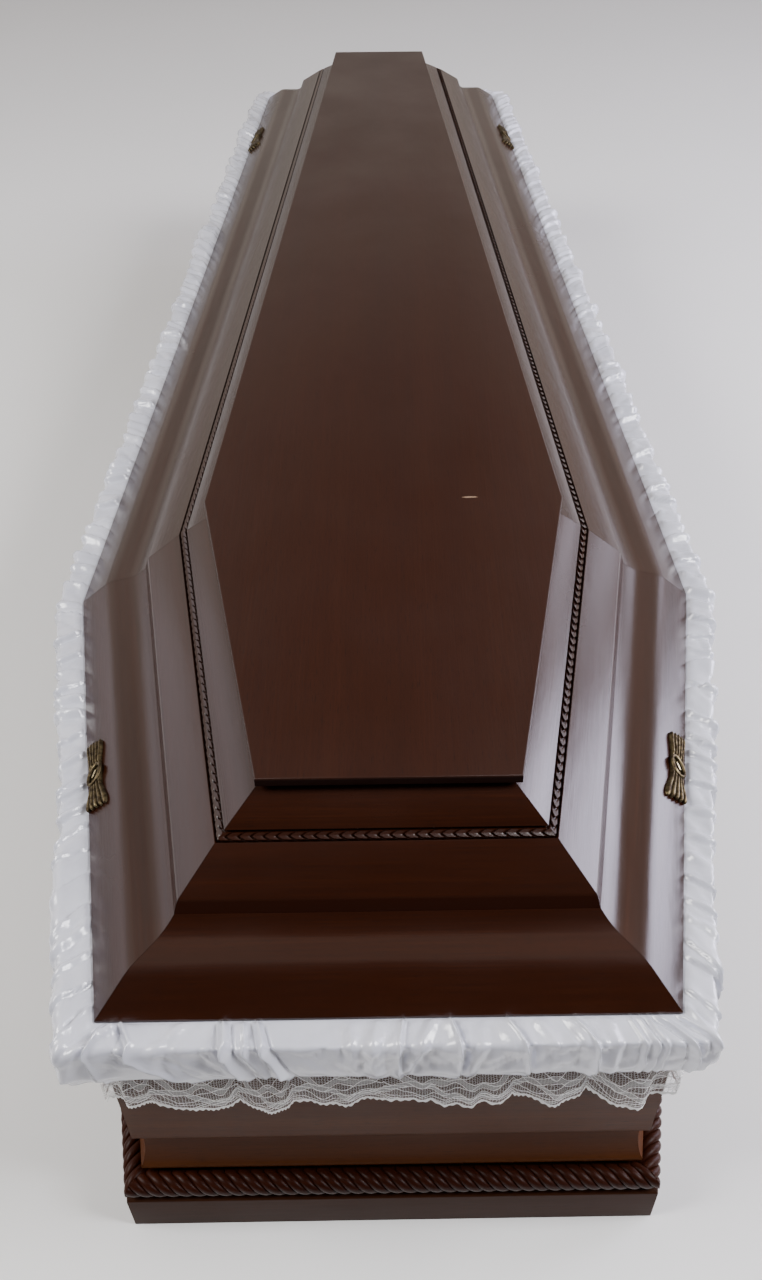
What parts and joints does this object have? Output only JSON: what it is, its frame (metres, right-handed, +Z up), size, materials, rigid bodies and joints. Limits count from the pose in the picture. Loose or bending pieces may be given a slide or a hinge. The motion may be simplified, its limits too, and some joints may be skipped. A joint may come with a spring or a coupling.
{
  "type": "wooden coffin",
  "caption": "Six-sided wooden coffin with a stepped, panelled lid, a rope moulding, a white satin ruche and lace on the rim, and cast lid screws.",
  "frame": {"origin": "on the floor, under the middle of the coffin", "axes": "+Z up; +Y along the coffin towards its foot end, so the head end points to -Y"},
  "size_m": [0.6894, 2.051, 0.4467],
  "materials": {
    "walnut_stained_top_board": "dark walnut stain under satin lacquer",
    "walnut_stained_lid_wood": "dark walnut stain under half-gloss lacquer",
    "walnut_stained_body_wood": "dark walnut stain under satin lacquer",
    "walnut_stained_carving": "carved, dark stain under satin lacquer",
    "white_satin": "glossy",
    "white_lace": "matt",
    "aged_brass": "aged"
  },
  "bodies": {
    "root": {"bottom_board": "walnut_stained_body_wood", "plinth_head": "walnut_stained_body_wood", "plinth_right_shoulder": "walnut_stained_body_wood", "plinth_right_side": "walnut_stained_body_wood", "plinth_foot": "walnut_stained_body_wood", "plinth_left_side": "walnut_stained_body_wood", "plinth_left_shoulder": "walnut_stained_body_wood", "cove_moulding_head": "walnut_stained_body_wood", "cove_moulding_right_shoulder": "walnut_stained_body_wood", "cove_moulding_right_side": "walnut_stained_body_wood", "cove_moulding_foot": "walnut_stained_body_wood", "cove_moulding_left_side": "walnut_stained_body_wood", "cove_moulding_left_shoulder": "walnut_stained_body_wood", "wall_board_head": "walnut_stained_body_wood", "wall_board_right_shoulder": "walnut_stained_body_wood", "wall_board_right_side": "walnut_stained_body_wood", "wall_board_foot": "walnut_stained_body_wood", "wall_board_left_side": "walnut_stained_body_wood", "wall_board_left_shoulder": "walnut_stained_body_wood", "rim_rail_head": "walnut_stained_body_wood", "rim_rail_right_shoulder": "walnut_stained_body_wood", "rim_rail_right_side": "walnut_stained_body_wood", "rim_rail_foot": "walnut_stained_body_wood", "rim_rail_left_side": "walnut_stained_body_wood", "rim_rail_left_shoulder": "walnut_stained_body_wood", "lid_moulding_head": "walnut_stained_lid_wood", "lid_moulding_right_shoulder": "walnut_stained_lid_wood", "lid_moulding_right_side": "walnut_stained_lid_wood", "lid_moulding_foot": "walnut_stained_lid_wood", "lid_moulding_left_side": "walnut_stained_lid_wood", "lid_moulding_left_shoulder": "walnut_stained_lid_wood", "lid_panel_head": "walnut_stained_lid_wood", "lid_panel_right_shoulder": "walnut_stained_lid_wood", "lid_panel_right_side": "walnut_stained_lid_wood", "lid_panel_foot": "walnut_stained_lid_wood", "lid_panel_left_side": "walnut_stained_lid_wood", "lid_panel_left_shoulder": "walnut_stained_lid_wood", "lid_braid_head": "walnut_stained_carving", "lid_braid_right_shoulder": "walnut_stained_carving", "lid_braid_right_side": "walnut_stained_carving", "lid_braid_foot": "walnut_stained_carving", "lid_braid_left_side": "walnut_stained_carving", "lid_braid_left_shoulder": "walnut_stained_carving", "rope_moulding_head": "walnut_stained_carving", "rope_moulding_right_shoulder": "walnut_stained_carving", "rope_moulding_right_side": "walnut_stained_carving", "rope_moulding_foot": "walnut_stained_carving", "rope_moulding_left_side": "walnut_stained_carving", "rope_moulding_left_shoulder": "walnut_stained_carving", "lid_top_board": "walnut_stained_top_board", "satin_ruche": "white_satin", "lace_edging": "white_lace", "ornament_right_near": "aged_brass", "ornament_right_far": "aged_brass", "ornament_left_far": "aged_brass", "ornament_left_near": "aged_brass", "lid_screw_right_near": "aged_brass", "lid_screw_right_far": "aged_brass", "lid_screw_left_far": "aged_brass", "lid_screw_left_near": "aged_brass"}
  },
  "joints": []
}
